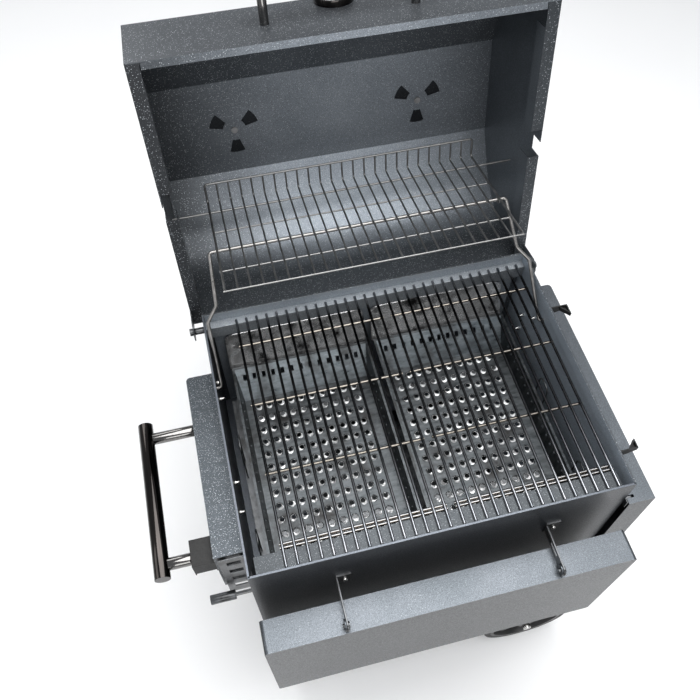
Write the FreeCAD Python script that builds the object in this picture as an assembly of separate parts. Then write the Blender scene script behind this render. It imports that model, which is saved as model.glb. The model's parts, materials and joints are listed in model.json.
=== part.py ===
import FreeCAD, Part
import math
import os

# Lidded charcoal trolley grill.  Working frame, in millimetres: x to the right, y to the back,
# z up, with zero at the front left outer corner of the firebox rim.  The last step moves every
# piece so that the origin is the middle of the bottom of the whole grill's box.

V = FreeCAD.Vector
X_AXIS = V(1, 0, 0)
Y_AXIS = V(0, 1, 0)
Z_AXIS = V(0, 0, 1)

# Firebox
WIDTH = 600.0
DEPTH = 473.0
FIREBOX_HEIGHT = 300.0
RIM_ABOVE_FLOOR = 860.0
SHEET = 1.5
HEM = 3.5
HEM_HEIGHT = 10.0
MID_X = WIDTH / 2
LEDGE_Z = -22.0
FRONT_LEDGE_END = 36.5
REAR_LEDGE_START = 456.0
REAR_LEDGE_LIP = 28.0
SHIELD_SHEET = 1.0
ASH_OPENING = (120.0, 480.0, 110.0, 363.0)

# Screws, as (y, z) places on the side walls
SCREW_R = 2.0
PANEL_SCREWS = ((133.0, -80.0), (185.0, -80.0), (346.0, -80.0), (380.0, -80.0))
RIGHT_SCREWS = ((375.0, -76.0), (413.0, -118.0), (413.0, -162.0))
ARM_SCREW_Z = -103.0

# Brackets on the right wall: reach, (top, root, tip) heights and (plate, flange end) depths
BRACKET_SHEET = 2.0
BRACKET_REACH = 32.0
BRACKET_Z = (-5.0, -27.0, -14.0)
BRACKET_Y = ((58.0, 75.0), (344.0, 325.0))
BRACKET_RETURN = 15.0

# Cooking grates
GRATE_PITCH = 18.0
GRATE_WIRES = 15
GRATE_FIRST_X = (57.0, 330.0)
GRATE_FRONT = 10.0
GRATE_REAR = 462.0
GRATE_WIRE_R = 2.3
GRATE_ROD_R = 2.5
GRATE_ROD_Y = (40.5, 46.5, 162.0, 288.0, 408.0)
WELD = 0.6
GAP = 0.3
RUNNING = 0.06
PIN_R = 3.0

# Charcoal pans and the carrier that lifts them
PAN_X = ((33.0, 291.0), (309.0, 567.0))
PAN_Y = (34.0, 438.0)
PAN_RIM_Z = -140.0
PAN_FLOOR_Z = -190.0
PAN_SIDE_SLOPE = 8.0
PAN_FRONT_SLOPE = 14.0
PAN_REAR_SLOPE = 44.0
PAN_SHEET = 1.5
PAN_HOLE_R = 4.7
PAN_HOLE_INSET = (32.0, 36.0)
PAN_HOLE_PITCH = (20.75, 25.5)
PAN_HOLE_COUNT = (10, 13)
PAN_SLOT = (7.0, 9.0)
PAN_SLOT_PITCH = 18.0
PAN_SIDE_HOLE_R = 3.0
CARRIER_BAR_Y = (120.0, 350.0)
CARRIER_BAR = 3.0
CARRIER_LIFT = 80.0
LEVER_Y = 42.0

# Lid, drawn closed and then swung open about its hinge
LID_WALL_OUT = 20.5
LID_RIM_Z = 1.0
HINGE_Y = 467.0
HINGE_Z = -37.0
LID_OPEN_DEG = 101.7
LID_REAR_Y = 483.0
LID_FRONT_Y = -8.0
LID_TOP_Z = 242.0
LID_KNEE_Z = 206.0
LID_SHOULDER_Z = 140.0
LID_TOP_Y = (150.0, 330.0)
LID_KNEE_Y = (60.0, 420.0)
LID_BENDS = (120.0, 120.0, 6.0, 6.0, 14.0, 14.0)
LID_FLANGE = 20.0
LID_HANDLE_Y = -62.0
LID_HANDLE_Z = 66.0
LID_LIP = 30.0
SPIT_NOTCH_Y = (228.0, 255.0)
SPIT_NOTCH_DEPTH = 28.0
LIP_NOTCH_Y = (205.0, 255.0)

# Lid vents
VENT_X = (MID_X - 175.5, MID_X + 175.5)
VENT_Y = 245.0
VENT_HOLE_R = (21.0, 46.0)
VENT_HOLE_HALF_DEG = 18.0
VENT_DISC_R = 53.0
VENT_REST_DEG = 52.0

# Warming rack and the bail that carries it, drawn with the lid open
BAIL_PIVOT_Y = 350.0
BAIL_PIVOT_Z = -48.0
BAIL_LENGTH = 227.3
BAIL_LEAN_DEG = 50.4
BAIL_R = 3.0
BAIL_HALF_BAR = 264.0
BAIL_HALF_FOOT = 290.0
RACK_TILT_DEG = 11.6
RACK_HALF = 250.0
RACK_WIRES = 25
RACK_FRONT = -109.6
RACK_REAR = 140.0
RACK_ROWS = (-59.0, 49.0)
RACK_PIVOT_ROW = 109.4
RACK_FENCE = 37.0
RACK_THIN_R = 1.6
RACK_ROW_R = 1.5
RACK_SIDE_R = 2.0
RACK_EYE_R = 1.7

# Panels, tables and handle
PANEL_THICKNESS = 49.0
PANEL_CORNER = 7.0
PANEL_TOP_Z = -62.0
LEFT_PANEL_Y = (62.0, 390.0)
LEFT_PANEL_DROP = 140.0
SIDE_TABLE_Y = (-9.0, 433.0)
SIDE_TABLE_INNER_X = 604.0
SIDE_TABLE_DROP = 300.0
SIDE_TABLE_PIVOT = (612.0, -68.0)
FRONT_TABLE_X = (-1.0, 601.0)
FRONT_TABLE_Y = (-82.0, -32.0)
FRONT_TABLE_TOP_Z = -112.0
FRONT_TABLE_DROP = 300.0
FRONT_TABLE_PIVOT = (-72.0, -101.0)
ARM_X = (MID_X - 173.0, MID_X + 173.0)
HANDLE_X = -132.0
HANDLE_Z = -95.0
HANDLE_Y = (60.0, 332.0)
HANDLE_R = 12.5
HANDLE_POST_Y = (82.0, 304.0)
HANDLE_POST_R = 10.0

# Trolley
LEG = 35.0
LEG_WALL = 2.0
LEG_INSET = 12.0
FOOT_Z = 2.0 - RIM_ABOVE_FLOOR
SHELF_Z = -700.0
SHELF_LIP = 24.0
WHEEL_R = 100.0
WHEEL_WIDTH = 32.0
WHEEL_OUT = -24.0
AXLE_END = 8.0
TYRE_DEPTH = 14.0
AXLE_R = 5.0
AXLE_X = 570.0
ASH_DRAWER = (70.0, 530.0, 74.0, 399.0)
ASH_DRAWER_Z = (-345.0, -304.0)


def box(x0, x1, y0, y1, z0, z1):
    """A block between two opposite corners."""
    return Part.makeBox(x1 - x0, y1 - y0, z1 - z0, V(x0, y0, z0))


def rod(start, end, radius):
    """A round bar from one point to another."""
    a = V(*start)
    b = V(*end)
    return Part.makeCylinder(radius, a.distanceToPoint(b), a, b - a)


def rounded_path(points, bend):
    """A wire through the points, with inner corners turned as arcs of one radius or a list of them."""
    radii = list(bend) if isinstance(bend, tuple) else [bend] * (len(points) - 2)
    edges = []
    here = V(*points[0])
    for i in range(1, len(points) - 1):
        corner = V(*points[i])
        back = (V(*points[i - 1]) - corner).normalize()
        ahead = (V(*points[i + 1]) - corner).normalize()
        half = back.getAngle(ahead) / 2
        radius = radii[i - 1]
        reach = radius / math.tan(half)
        start = corner + back * reach
        end = corner + ahead * reach
        middle = corner + (back + ahead).normalize() * (radius / math.sin(half) - radius)
        edges.append(Part.LineSegment(here, start).toShape())
        edges.append(Part.Arc(start, middle, end).toShape())
        here = end
    edges.append(Part.LineSegment(here, V(*points[-1])).toShape())
    return Part.Wire(edges)


def bent_rod(points, radius, bend):
    """A round wire bent through the points."""
    path = rounded_path(points, bend)
    direction = V(*points[1]) - V(*points[0])
    circle = Part.Wire([Part.makeCircle(radius, V(*points[0]), direction)])
    return path.makePipeShell([circle], True, True)


def bent_sheet(profile, bend, thickness, x0, x1):
    """A sheet of given thickness folded along (y, z) points and extruded from x0 to x1.

    Seen from the left, the sheet grows to the right of the direction in which the points run.
    """
    path = rounded_path([(x0, y, z) for y, z in profile], bend)
    face = path.makeOffset2D(thickness, 0, True, True)
    return face.extrude(V(x1 - x0, 0, 0))


def hollow(block, open_face_normal, thickness):
    """A block hollowed to a shell, with the planar face that looks along a direction removed."""
    best = max(block.Faces, key=lambda f: f.normalAt(0, 0).dot(open_face_normal) * 1e6 + f.Area)
    return block.makeThickness([best], -thickness, 1e-3)


def edges_along(shape, axis, test):
    """The straight edges parallel to an axis whose middle passes a test."""
    chosen = []
    for edge in shape.Edges:
        if len(edge.Vertexes) == 2:
            run = edge.Vertexes[1].Point - edge.Vertexes[0].Point
            if abs(abs(run.normalize().dot(axis)) - 1) < 1e-6 and test(edge.CenterOfMass):
                chosen.append(edge)
    return chosen


def fuse(shapes):
    """One solid made of touching or crossing pieces."""
    return shapes[0].multiFuse(shapes[1:]).removeSplitter()


def group(shapes):
    """Several separate solids kept together."""
    return Part.makeCompound(shapes)


def opened(shape):
    """A piece of the lid, drawn closed, swung to where it rests when the lid is open."""
    moved = shape.copy()
    moved.rotate(V(0, HINGE_Y, HINGE_Z), X_AXIS, -LID_OPEN_DEG)
    return moved


# ---------------------------------------------------------------- firebox

def firebox_front_wall():
    """Front wall with its rim folded over."""
    wall = box(0, WIDTH, 0, SHEET, -FIREBOX_HEIGHT, 0)
    hem = box(HEM, WIDTH - HEM, SHEET, HEM, -HEM_HEIGHT, 0)
    return fuse([wall, hem]).cut(screw_holes())


def firebox_rear_wall():
    """Rear wall with its rim folded over."""
    wall = box(0, WIDTH, DEPTH - SHEET, DEPTH, -FIREBOX_HEIGHT, 0)
    hem = box(HEM, WIDTH - HEM, DEPTH - HEM, DEPTH - SHEET, -HEM_HEIGHT, 0)
    return fuse([wall, hem])


def side_wall(outer_x, inward):
    """A side wall between front and rear walls, with rim fold, end flanges and bail pivot hole."""
    def at(a, b):
        return sorted((outer_x + inward * a, outer_x + inward * b))
    wall = box(*at(0, SHEET), SHEET, DEPTH - SHEET, -FIREBOX_HEIGHT, 0)
    hem = box(*at(SHEET, HEM), HEM, DEPTH - HEM, -HEM_HEIGHT, 0)
    front_flange = box(*at(SHEET, 12), SHEET, 2 * SHEET, -FIREBOX_HEIGHT, -2 * HEM_HEIGHT)
    rear_flange = box(*at(SHEET, 12), DEPTH - 2 * SHEET, DEPTH - SHEET, -FIREBOX_HEIGHT,
                      LEDGE_Z - REAR_LEDGE_LIP)
    shape = fuse([wall, hem, front_flange, rear_flange])
    for y, z, radius in ((BAIL_PIVOT_Y, BAIL_PIVOT_Z, BAIL_R + 0.08),
                         (HINGE_Y, HINGE_Z, 4.0)):
        shape = shape.cut(rod((outer_x - 15, y, z), (outer_x + 15, y, z), radius))
    return shape.cut(screw_holes())


def firebox_left_wall():
    """Left wall, with the upright slot that the lift lever runs in."""
    slot = box(-SHEET, 2 * SHEET, LEVER_Y - 4, LEVER_Y + 4,
               PAN_FLOOR_Z - 14, PAN_FLOOR_Z + CARRIER_LIFT + 8)
    return side_wall(0, 1).cut(slot)


def firebox_right_wall():
    """Right wall."""
    return side_wall(WIDTH, -1)


def firebox_floor():
    """Floor of the firebox, with the opening above the ash drawer."""
    x0, x1, y0, y1 = ASH_OPENING
    floor = box(0, WIDTH, 0, DEPTH, -FIREBOX_HEIGHT - SHEET, -FIREBOX_HEIGHT)
    return floor.cut(box(x0, x1, y0, y1, -FIREBOX_HEIGHT - 5, -FIREBOX_HEIGHT + 5))


def front_ledge():
    """Shelf along the front wall that carries the front ends of the grates."""
    plate = box(12, WIDTH - 12, SHEET, FRONT_LEDGE_END, LEDGE_Z - SHEET, LEDGE_Z)
    lip = box(12, WIDTH - 12, FRONT_LEDGE_END - SHEET, FRONT_LEDGE_END, LEDGE_Z - 14, LEDGE_Z)
    flange = box(14, WIDTH - 14, SHEET, 2 * SHEET, LEDGE_Z - 16, LEDGE_Z)
    return fuse([plate, lip, flange])


def rear_ledge():
    """Shelf along the rear wall, with a deep front lip."""
    plate = box(2, WIDTH - 2, REAR_LEDGE_START, DEPTH - SHEET, LEDGE_Z - SHEET, LEDGE_Z)
    lip = box(2, WIDTH - 2, REAR_LEDGE_START, REAR_LEDGE_START + SHEET,
              LEDGE_Z - REAR_LEDGE_LIP, LEDGE_Z)
    return fuse([plate, lip])


def rear_shield(x0, x1):
    """Flared baffle behind a pan, rising from the pan's rear edge to the rear wall."""
    wall = DEPTH - SHEET - SHIELD_SHEET
    profile = [(wall - 28, -148), (wall - 26, -138), (wall, -74), (wall, -60)]
    return bent_sheet(profile, 4, SHIELD_SHEET, x0 - 6, x1 + 2)


def screw(start, direction, grip, head_r, nut_r, reach):
    """Domed-head screw through a stack of sheets, with its nut on the far side.

    start is the point under the head, grip the thickness of the stack and reach the shank length.
    """
    along = V(*direction)
    head = Part.makeCylinder(head_r, 2, V(*start) - along * 2, along)
    shank = Part.makeCylinder(SCREW_R, reach, V(*start), along)
    nut = Part.makeCylinder(nut_r, 3.2, V(*start) + along * grip, along)
    return fuse([head, shank, nut])


def wall_screws():
    """Screws of the left panel, the right wall's inner stays and the front table's arms."""
    screws = []
    for y, z in PANEL_SCREWS:
        screws.append(screw((-SHEET, y, z), (1, 0, 0), 2 * SHEET, 4, 4, 10))
    for y, z in RIGHT_SCREWS:
        screws.append(screw((WIDTH, y, z), (-1, 0, 0), SHEET, 4, 4, 9))
    for x in ARM_X:
        screws.append(screw((x + 14, -2 * SHEET, ARM_SCREW_Z), (0, 1, 0), 3 * SHEET, 4, 4, 11))
    return group(screws)


def screw_holes():
    """Holes for every wall screw."""
    holes = [rod((-10, y, z), (10, y, z), SCREW_R) for y, z in PANEL_SCREWS]
    holes += [rod((WIDTH - 10, y, z), (WIDTH + 10, y, z), SCREW_R) for y, z in RIGHT_SCREWS]
    holes += [rod((x + 14, -10, ARM_SCREW_Z), (x + 14, 10, ARM_SCREW_Z), SCREW_R) for x in ARM_X]
    return group(holes)


# ---------------------------------------------------------------- grates and charcoal

def grate(first_x):
    """Cooking grate of parallel round wires on cross rods, with two rods together at the front."""
    wire_z = LEDGE_Z + GAP + GRATE_WIRE_R
    rod_z = wire_z - GRATE_WIRE_R - GRATE_ROD_R + WELD
    last_x = first_x + GRATE_PITCH * (GRATE_WIRES - 1)
    pieces = []
    for i in range(GRATE_WIRES):
        x = first_x + GRATE_PITCH * i
        pieces.append(rod((x, GRATE_FRONT, wire_z), (x, GRATE_REAR, wire_z), GRATE_WIRE_R))
    for y in GRATE_ROD_Y:
        pieces.append(rod((first_x - 4, y, rod_z), (last_x + 4, y, rod_z), GRATE_ROD_R))
    return fuse(pieces)


def rectangle(x0, x1, y0, y1, z):
    """A closed rectangular wire at one height."""
    corners = [V(x0, y0, z), V(x1, y0, z), V(x1, y1, z), V(x0, y1, z), V(x0, y0, z)]
    return Part.makePolygon(corners)


def pan_floor_holes(x0):
    """Round holes in rows and columns in the floor of a pan."""
    columns, rows = PAN_HOLE_COUNT
    holes = []
    for row in range(rows):
        y = PAN_Y[0] + PAN_HOLE_INSET[1] + row * PAN_HOLE_PITCH[1]
        for column in range(columns):
            x = x0 + PAN_HOLE_INSET[0] + column * PAN_HOLE_PITCH[0]
            holes.append(Part.makeCylinder(PAN_HOLE_R, 10, V(x, y, PAN_FLOOR_Z - 5)))
    return holes


def pan_wall_holes(x0, x1):
    """Slots along the sloping rear wall and round holes along both side walls of a pan."""
    wide, tall = PAN_SLOT
    slot_z = PAN_RIM_Z - 14
    side_z = PAN_RIM_Z - 22
    holes = []
    x = x0 + PAN_SLOT_PITCH
    while x < x1 - PAN_SLOT_PITCH + 5:
        holes.append(box(x - wide / 2, x + wide / 2, PAN_Y[1] - PAN_REAR_SLOPE, PAN_Y[1] + 2,
                         slot_z - tall / 2, slot_z + tall / 2))
        x += PAN_SLOT_PITCH
    y = PAN_Y[0] + 2 * PAN_SLOT_PITCH
    while y < PAN_Y[1] - PAN_REAR_SLOPE - 10:
        holes.append(rod((x0 - 5, y, side_z), (x0 + PAN_SIDE_SLOPE + 5, y, side_z), PAN_SIDE_HOLE_R))
        holes.append(rod((x1 - PAN_SIDE_SLOPE - 5, y, side_z), (x1 + 5, y, side_z), PAN_SIDE_HOLE_R))
        y += PAN_SLOT_PITCH
    return holes


def coal_pan(x0, x1):
    """Charcoal pan with sloping walls, a turned rim and a perforated floor."""
    y0, y1 = PAN_Y
    block = Part.makeLoft([rectangle(x0, x1, y0, y1, PAN_RIM_Z),
                           rectangle(x0 + PAN_SIDE_SLOPE, x1 - PAN_SIDE_SLOPE,
                                     y0 + PAN_FRONT_SLOPE, y1 - PAN_REAR_SLOPE, PAN_FLOOR_Z)],
                          True, True)
    shell = hollow(block, Z_AXIS, PAN_SHEET)
    rim = box(x0 - 3, x1 + 3, y0 - 3, y1 + 3, PAN_RIM_Z - PAN_SHEET, PAN_RIM_Z)
    rim = rim.cut(box(x0 + 1, x1 - 1, y0 + 1, y1 - 1, PAN_RIM_Z - 5, PAN_RIM_Z + 5))
    pan = fuse([shell, rim])
    return pan.cut(group(pan_floor_holes(x0) + pan_wall_holes(x0, x1)))


def pan_carrier():
    """Flat frame under both pans, with wire hangers beside the left and right walls."""
    top = PAN_FLOOR_Z
    bottom = top - CARRIER_BAR
    pieces = [box(18, WIDTH - 18, y - 12, y + 12, bottom, top) for y in CARRIER_BAR_Y]
    for x in (18.0, WIDTH - 30.0):
        pieces.append(box(x, x + 12, 30, 400, bottom, top))
    for x, top in ((21.0, -80.0), (WIDTH - 21.0, -112.0)):
        for y in (70.0, 240.0):
            loop = [(x, y, bottom + 1.5), (x, y, top), (x, y + 32, top), (x, y + 32, bottom + 1.5)]
            pieces.append(bent_rod(loop, 1.5, 13))
    return fuse(pieces)


def lift_lever():
    """Lever that passes through the left wall and lifts the pan carrier."""
    z = PAN_FLOOR_Z - CARRIER_BAR
    arm = box(-38, 30, LEVER_Y - 2, LEVER_Y + 2, z - 10, z)
    grip = rod((-76, LEVER_Y, z - 5), (-34, LEVER_Y, z - 5), 8)
    return fuse([arm, grip])


def lift_rack():
    """Notched strip below the left panel that holds the lift lever at a chosen height."""
    strip = box(-44, -4, 56, 58, -225, -64)
    flange = box(-4, 0, 56, 58, -225, -64)
    strip = fuse([strip, flange])
    for step in range(4):
        z = -200 + 36 * step
        strip = strip.cut(box(-32, -10, 50, 60, z, z + 14))
    return strip


def ash_drawer():
    """Drawer under the firebox that catches ash and pulls out at the handle side."""
    x0, x1, y0, y1 = ASH_DRAWER
    z0, z1 = ASH_DRAWER_Z
    tray = hollow(box(x0, x1, y0, y1, z0, z1 - 1), Z_AXIS, SHEET)
    rims = []
    for inner, outer in ((y0 + SHEET, y0 - 6), (y1 - SHEET, y1 + 6)):
        low, high = sorted((inner, outer))
        rims.append(box(x0, x1, low, high, z1 - 1 - SHEET, z1 - 1))
    front = box(x0 - 2, x0, y0 - 8, y1 + 8, z0 - 4, z1 - 1)
    return fuse([tray, front] + rims)


def ash_drawer_handle():
    """Bent wire pull on the ash drawer."""
    x = ASH_DRAWER[0] - 2
    y = (ASH_DRAWER[2] + ASH_DRAWER[3]) / 2
    z = (ASH_DRAWER_Z[0] + ASH_DRAWER_Z[1]) / 2
    points = [(x, y - 45, z), (x - 28, y - 45, z), (x - 28, y + 45, z), (x, y + 45, z)]
    return bent_rod(points, 3, 8)


def drawer_runners():
    """Two angle runners that the ash drawer hangs in."""
    x0, x1, y0, y1 = ASH_DRAWER
    top = -FIREBOX_HEIGHT - SHEET
    low = ASH_DRAWER_Z[1] - 1 - SHEET - GAP
    runners = []
    for side, y in ((-1, y0 - 8), (1, y1 + 8)):
        web = box(x0 + 6, x1, min(y, y + side * SHEET), max(y, y + side * SHEET), low - SHEET, top)
        foot = box(x0 + 6, x1, min(y, y - side * 5), max(y, y - side * 5), low - SHEET, low)
        runners.append(fuse([web, foot]))
    return group(runners)


# ---------------------------------------------------------------- lid

def lid_profile():
    """Outline of the closed lid seen from the side, from its rear rim to its front rim."""
    return [(LID_REAR_Y, LID_RIM_Z), (LID_REAR_Y, LID_SHOULDER_Z), (LID_KNEE_Y[1], LID_KNEE_Z),
            (LID_TOP_Y[1], LID_TOP_Z), (LID_TOP_Y[0], LID_TOP_Z), (LID_KNEE_Y[0], LID_KNEE_Z),
            (LID_FRONT_Y, LID_SHOULDER_Z), (LID_FRONT_Y, LID_RIM_Z)]


def vent_hole_wedges(x, turn_deg, z0, z1):
    """Three wedge-shaped holes around a vent centre."""
    wedges = []
    inner, outer = VENT_HOLE_R
    for k in range(3):
        start = turn_deg + 90 + 120 * k - VENT_HOLE_HALF_DEG
        ring = Part.makeCylinder(outer, z1 - z0, V(x, VENT_Y, z0), Z_AXIS, 2 * VENT_HOLE_HALF_DEG)
        ring.rotate(V(x, VENT_Y, 0), Z_AXIS, start)
        wedges.append(ring.cut(Part.makeCylinder(inner, z1 - z0, V(x, VENT_Y, z0))))
    return wedges


def lid_shell():
    """Folded front, top and rear of the lid, with the vent holes."""
    x0 = -LID_WALL_OUT + SHEET
    x1 = WIDTH + LID_WALL_OUT - SHEET
    shell = bent_sheet(lid_profile(), LID_BENDS, -SHEET, x0, x1)
    flange = box(x0 + LID_FLANGE, x1 - LID_FLANGE, LID_FRONT_Y, HEM, LID_RIM_Z, LID_RIM_Z + SHEET)
    shell = fuse([shell, flange])
    for x in VENT_X:
        for wedge in vent_hole_wedges(x, 0, LID_TOP_Z - 10, LID_TOP_Z + 10):
            shell = shell.cut(wedge)
        shell = shell.cut(Part.makeCylinder(3, 20, V(x, VENT_Y, LID_TOP_Z - 10)))
    return opened(shell)


def lid_side(outer_x, inward):
    """End plate of the lid with its rim flange and inner lip, spit notch and hinge ear."""
    def at(a, b):
        return sorted((outer_x + inward * a, outer_x + inward * b))
    path = rounded_path([(outer_x, y, z) for y, z in lid_profile()], LID_BENDS)
    rim = Part.LineSegment(V(outer_x, LID_FRONT_Y, LID_RIM_Z), V(outer_x, LID_REAR_Y, LID_RIM_Z))
    face = Part.Face(Part.Wire(path.Edges + [rim.toShape()]))
    plate = face.extrude(V(inward * SHEET, 0, 0))
    ear_top = box(*at(0, SHEET), HINGE_Y - 18, HINGE_Y + 16, HINGE_Z, LID_RIM_Z + 2)
    ear_round = rod((outer_x, HINGE_Y - 1, HINGE_Z), (outer_x + inward * SHEET, HINGE_Y - 1, HINGE_Z),
                    17)
    flange = box(*at(SHEET, LID_FLANGE), LID_FRONT_Y + SHEET, LID_REAR_Y - 2,
                 LID_RIM_Z, LID_RIM_Z + SHEET)
    lip = box(*at(LID_FLANGE - SHEET, LID_FLANGE), LID_FRONT_Y + 2 * LID_FLANGE, HINGE_Y - 20,
              LID_RIM_Z, LID_RIM_Z + LID_LIP)
    shape = fuse([plate, ear_top, ear_round, flange, lip])
    shape = shape.cut(box(*at(SHEET, LID_FLANGE + 5), *LIP_NOTCH_Y, LID_RIM_Z - 5,
                          LID_RIM_Z + LID_LIP + 5))
    notch = box(*at(-5, SHEET + 1), *SPIT_NOTCH_Y, LID_RIM_Z - 5, LID_RIM_Z + SPIT_NOTCH_DEPTH)
    hinge_hole = rod((outer_x - 10, HINGE_Y, HINGE_Z), (outer_x + 10, HINGE_Y, HINGE_Z), 4.05)
    shape = shape.cut(notch).cut(hinge_hole)
    return opened(shape)


def hinge_bolts():
    """Shouldered studs pressed into the side walls that the lid swings on."""
    bolts = []
    for wall_x, outward in ((0, -1), (WIDTH, 1)):
        def at(distance):
            return (wall_x + outward * distance, HINGE_Y, HINGE_Z)
        shank = rod(at(-8), at(26), 4.0)
        spacer = rod(at(0), at(LID_WALL_OUT - SHEET - GAP), 6.0)
        head = rod(at(LID_WALL_OUT + GAP), at(27), 6.5)
        bolts.append(fuse([shank, spacer, head]))
    return group(bolts)


def lid_handle_bar():
    """Stainless bar across the front of the lid."""
    return opened(rod((MID_X - 150, LID_HANDLE_Y, LID_HANDLE_Z),
                      (MID_X + 150, LID_HANDLE_Y, LID_HANDLE_Z), 11))


def lid_handle_posts():
    """Two posts that hold the lid's handle bar."""
    bar = lid_handle_bar()
    posts = []
    for x in (MID_X - 115, MID_X + 115):
        post = opened(rod((x, LID_FRONT_Y, LID_HANDLE_Z), (x, LID_HANDLE_Y + 8, LID_HANDLE_Z), 7))
        posts.append(post.cut(bar))
    return group(posts)


def thermometer_bezel():
    """Ring and back of the lid thermometer."""
    y = LID_FRONT_Y
    ring = rod((MID_X, y, 118), (MID_X, y - 10, 118), 31)
    ring = ring.cut(rod((MID_X, y - 2, 118), (MID_X, y - 11, 118), 27))
    return opened(ring)


def thermometer_dial():
    """Dial plate inside the bezel."""
    y = LID_FRONT_Y - 2
    dial = rod((MID_X, y, 118), (MID_X, y - 1.5, 118), 27)
    pin = rod((MID_X, y - 1.5, 118), (MID_X, y - 6, 118), 1.0)
    return opened(fuse([dial, pin]))


def thermometer_needle():
    """Pointer that turns on the dial's pin."""
    y = LID_FRONT_Y - 4.5
    hub = rod((MID_X, y, 118), (MID_X, y - 1, 118), 3.5)
    pointer = box(MID_X - 22, MID_X + 8, y - 1, y, 117, 119)
    needle = fuse([hub, pointer]).cut(rod((MID_X, y + 1, 118), (MID_X, y - 3, 118), 1.06))
    return opened(needle)


def vent_disc(x):
    """Turning vent disc with three holes and a small knob."""
    z = LID_TOP_Z + GAP
    disc = Part.makeCylinder(VENT_DISC_R, SHEET, V(x, VENT_Y, z))
    for wedge in vent_hole_wedges(x, VENT_REST_DEG, z - 5, z + 5):
        disc = disc.cut(wedge)
    disc = disc.cut(Part.makeCylinder(3.05, 20, V(x, VENT_Y, z - 10)))
    knob = Part.makeCylinder(6, 14, V(x, VENT_Y - 40, z + SHEET))
    return opened(fuse([disc, knob]))


def vent_rivets():
    """Rivets that the vent discs turn on, headed on both sides of the lid's top."""
    rivets = []
    for x in VENT_X:
        shank = Part.makeCylinder(3, SHEET * 2 + GAP * 2 + 6, V(x, VENT_Y, LID_TOP_Z - SHEET - 3))
        inner = Part.makeCylinder(6, 3, V(x, VENT_Y, LID_TOP_Z - SHEET - 3))
        outer = Part.makeCylinder(6, 2.5, V(x, VENT_Y, LID_TOP_Z + SHEET + 2 * GAP))
        rivets.append(opened(fuse([shank, inner, outer])))
    return group(rivets)


# ---------------------------------------------------------------- warming rack

def bail_point(reach, half):
    """Left and right points of the bail at a distance from its pivot."""
    lean = math.radians(BAIL_LEAN_DEG)
    y = BAIL_PIVOT_Y + reach * math.sin(lean)
    z = BAIL_PIVOT_Z + reach * math.cos(lean)
    return (MID_X - half, y, z), (MID_X + half, y, z)


def rack_bail():
    """U-shaped wire that pivots in the firebox walls and carries the warming rack."""
    left = [(-2.5, BAIL_PIVOT_Y, BAIL_PIVOT_Z)]
    right = [(WIDTH + 2.5, BAIL_PIVOT_Y, BAIL_PIVOT_Z)]
    for reach, half in ((0, BAIL_HALF_FOOT), (112, BAIL_HALF_FOOT), (138, 270.5),
                        (BAIL_LENGTH, BAIL_HALF_BAR)):
        a, b = bail_point(reach, half)
        left.append(a)
        right.append(b)
    return bent_rod(left + right[::-1], BAIL_R, 5.5)


def rack_place(shape):
    """A piece drawn level about the bail's bar, moved to where the rack rests."""
    bar = bail_point(BAIL_LENGTH, 0)[0]
    moved = shape.copy()
    moved.rotate(V(0, 0, 0), X_AXIS, -RACK_TILT_DEG)
    moved.translate(V(0, bar[1], bar[2]))
    return moved


def warming_rack():
    """Welded wire rack with an upturned rear fence and eyes that turn on the bail's bar."""
    thin_z = BAIL_R + RACK_THIN_R + 0.4
    side_z = BAIL_R + RACK_SIDE_R + 0.4
    row_z = thin_z - RACK_THIN_R - RACK_ROW_R + WELD
    fence_z = thin_z + RACK_FENCE
    x0 = MID_X - RACK_HALF
    x1 = MID_X + RACK_HALF
    pieces = []
    for i in range(1, RACK_WIRES - 1):
        x = x0 + i * (x1 - x0) / (RACK_WIRES - 1)
        points = [(x, RACK_FRONT, thin_z), (x, RACK_REAR, thin_z), (x, RACK_REAR, fence_z)]
        pieces.append(bent_rod(points, RACK_THIN_R, 5))
    frame = [(x0, RACK_FRONT, side_z), (x0, RACK_REAR, side_z), (x0, RACK_REAR, fence_z),
             (x1, RACK_REAR, fence_z), (x1, RACK_REAR, side_z), (x1, RACK_FRONT, side_z)]
    pieces.append(bent_rod(frame, RACK_SIDE_R, 6))
    for row in RACK_ROWS:
        pieces.append(rod((x0 - 3, row, row_z), (x1 + 3, row, row_z), RACK_ROW_R))
    pieces.append(rod((x0 - 3, RACK_FRONT, row_z), (x1 + 3, RACK_FRONT, row_z), RACK_THIN_R))
    pieces.append(rod((-17, RACK_PIVOT_ROW, row_z), (WIDTH + 17, RACK_PIVOT_ROW, row_z), RACK_SIDE_R))
    for x in (x0, x1):
        pieces.append(Part.makeTorus(side_z, RACK_EYE_R, V(x, 0, 0), X_AXIS))
    return rack_place(fuse(pieces))


# ---------------------------------------------------------------- panels, tables and handle

def left_panel():
    """Hollow panel on the left wall that carries the push handle."""
    y0, y1 = LEFT_PANEL_Y
    block = box(-PANEL_THICKNESS, 0, y0, y1, PANEL_TOP_Z - LEFT_PANEL_DROP, PANEL_TOP_Z)
    corner = edges_along(block, Z_AXIS, lambda c: c.x < -10 and c.y > y1 - 1)
    block = block.makeFillet(PANEL_CORNER, corner)
    return hollow(block, V(0, 0, -1), SHEET).cut(screw_holes())


def push_handle_bar():
    """Bar of the push handle."""
    return rod((HANDLE_X, HANDLE_Y[0], HANDLE_Z), (HANDLE_X, HANDLE_Y[1], HANDLE_Z), HANDLE_R)


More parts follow.
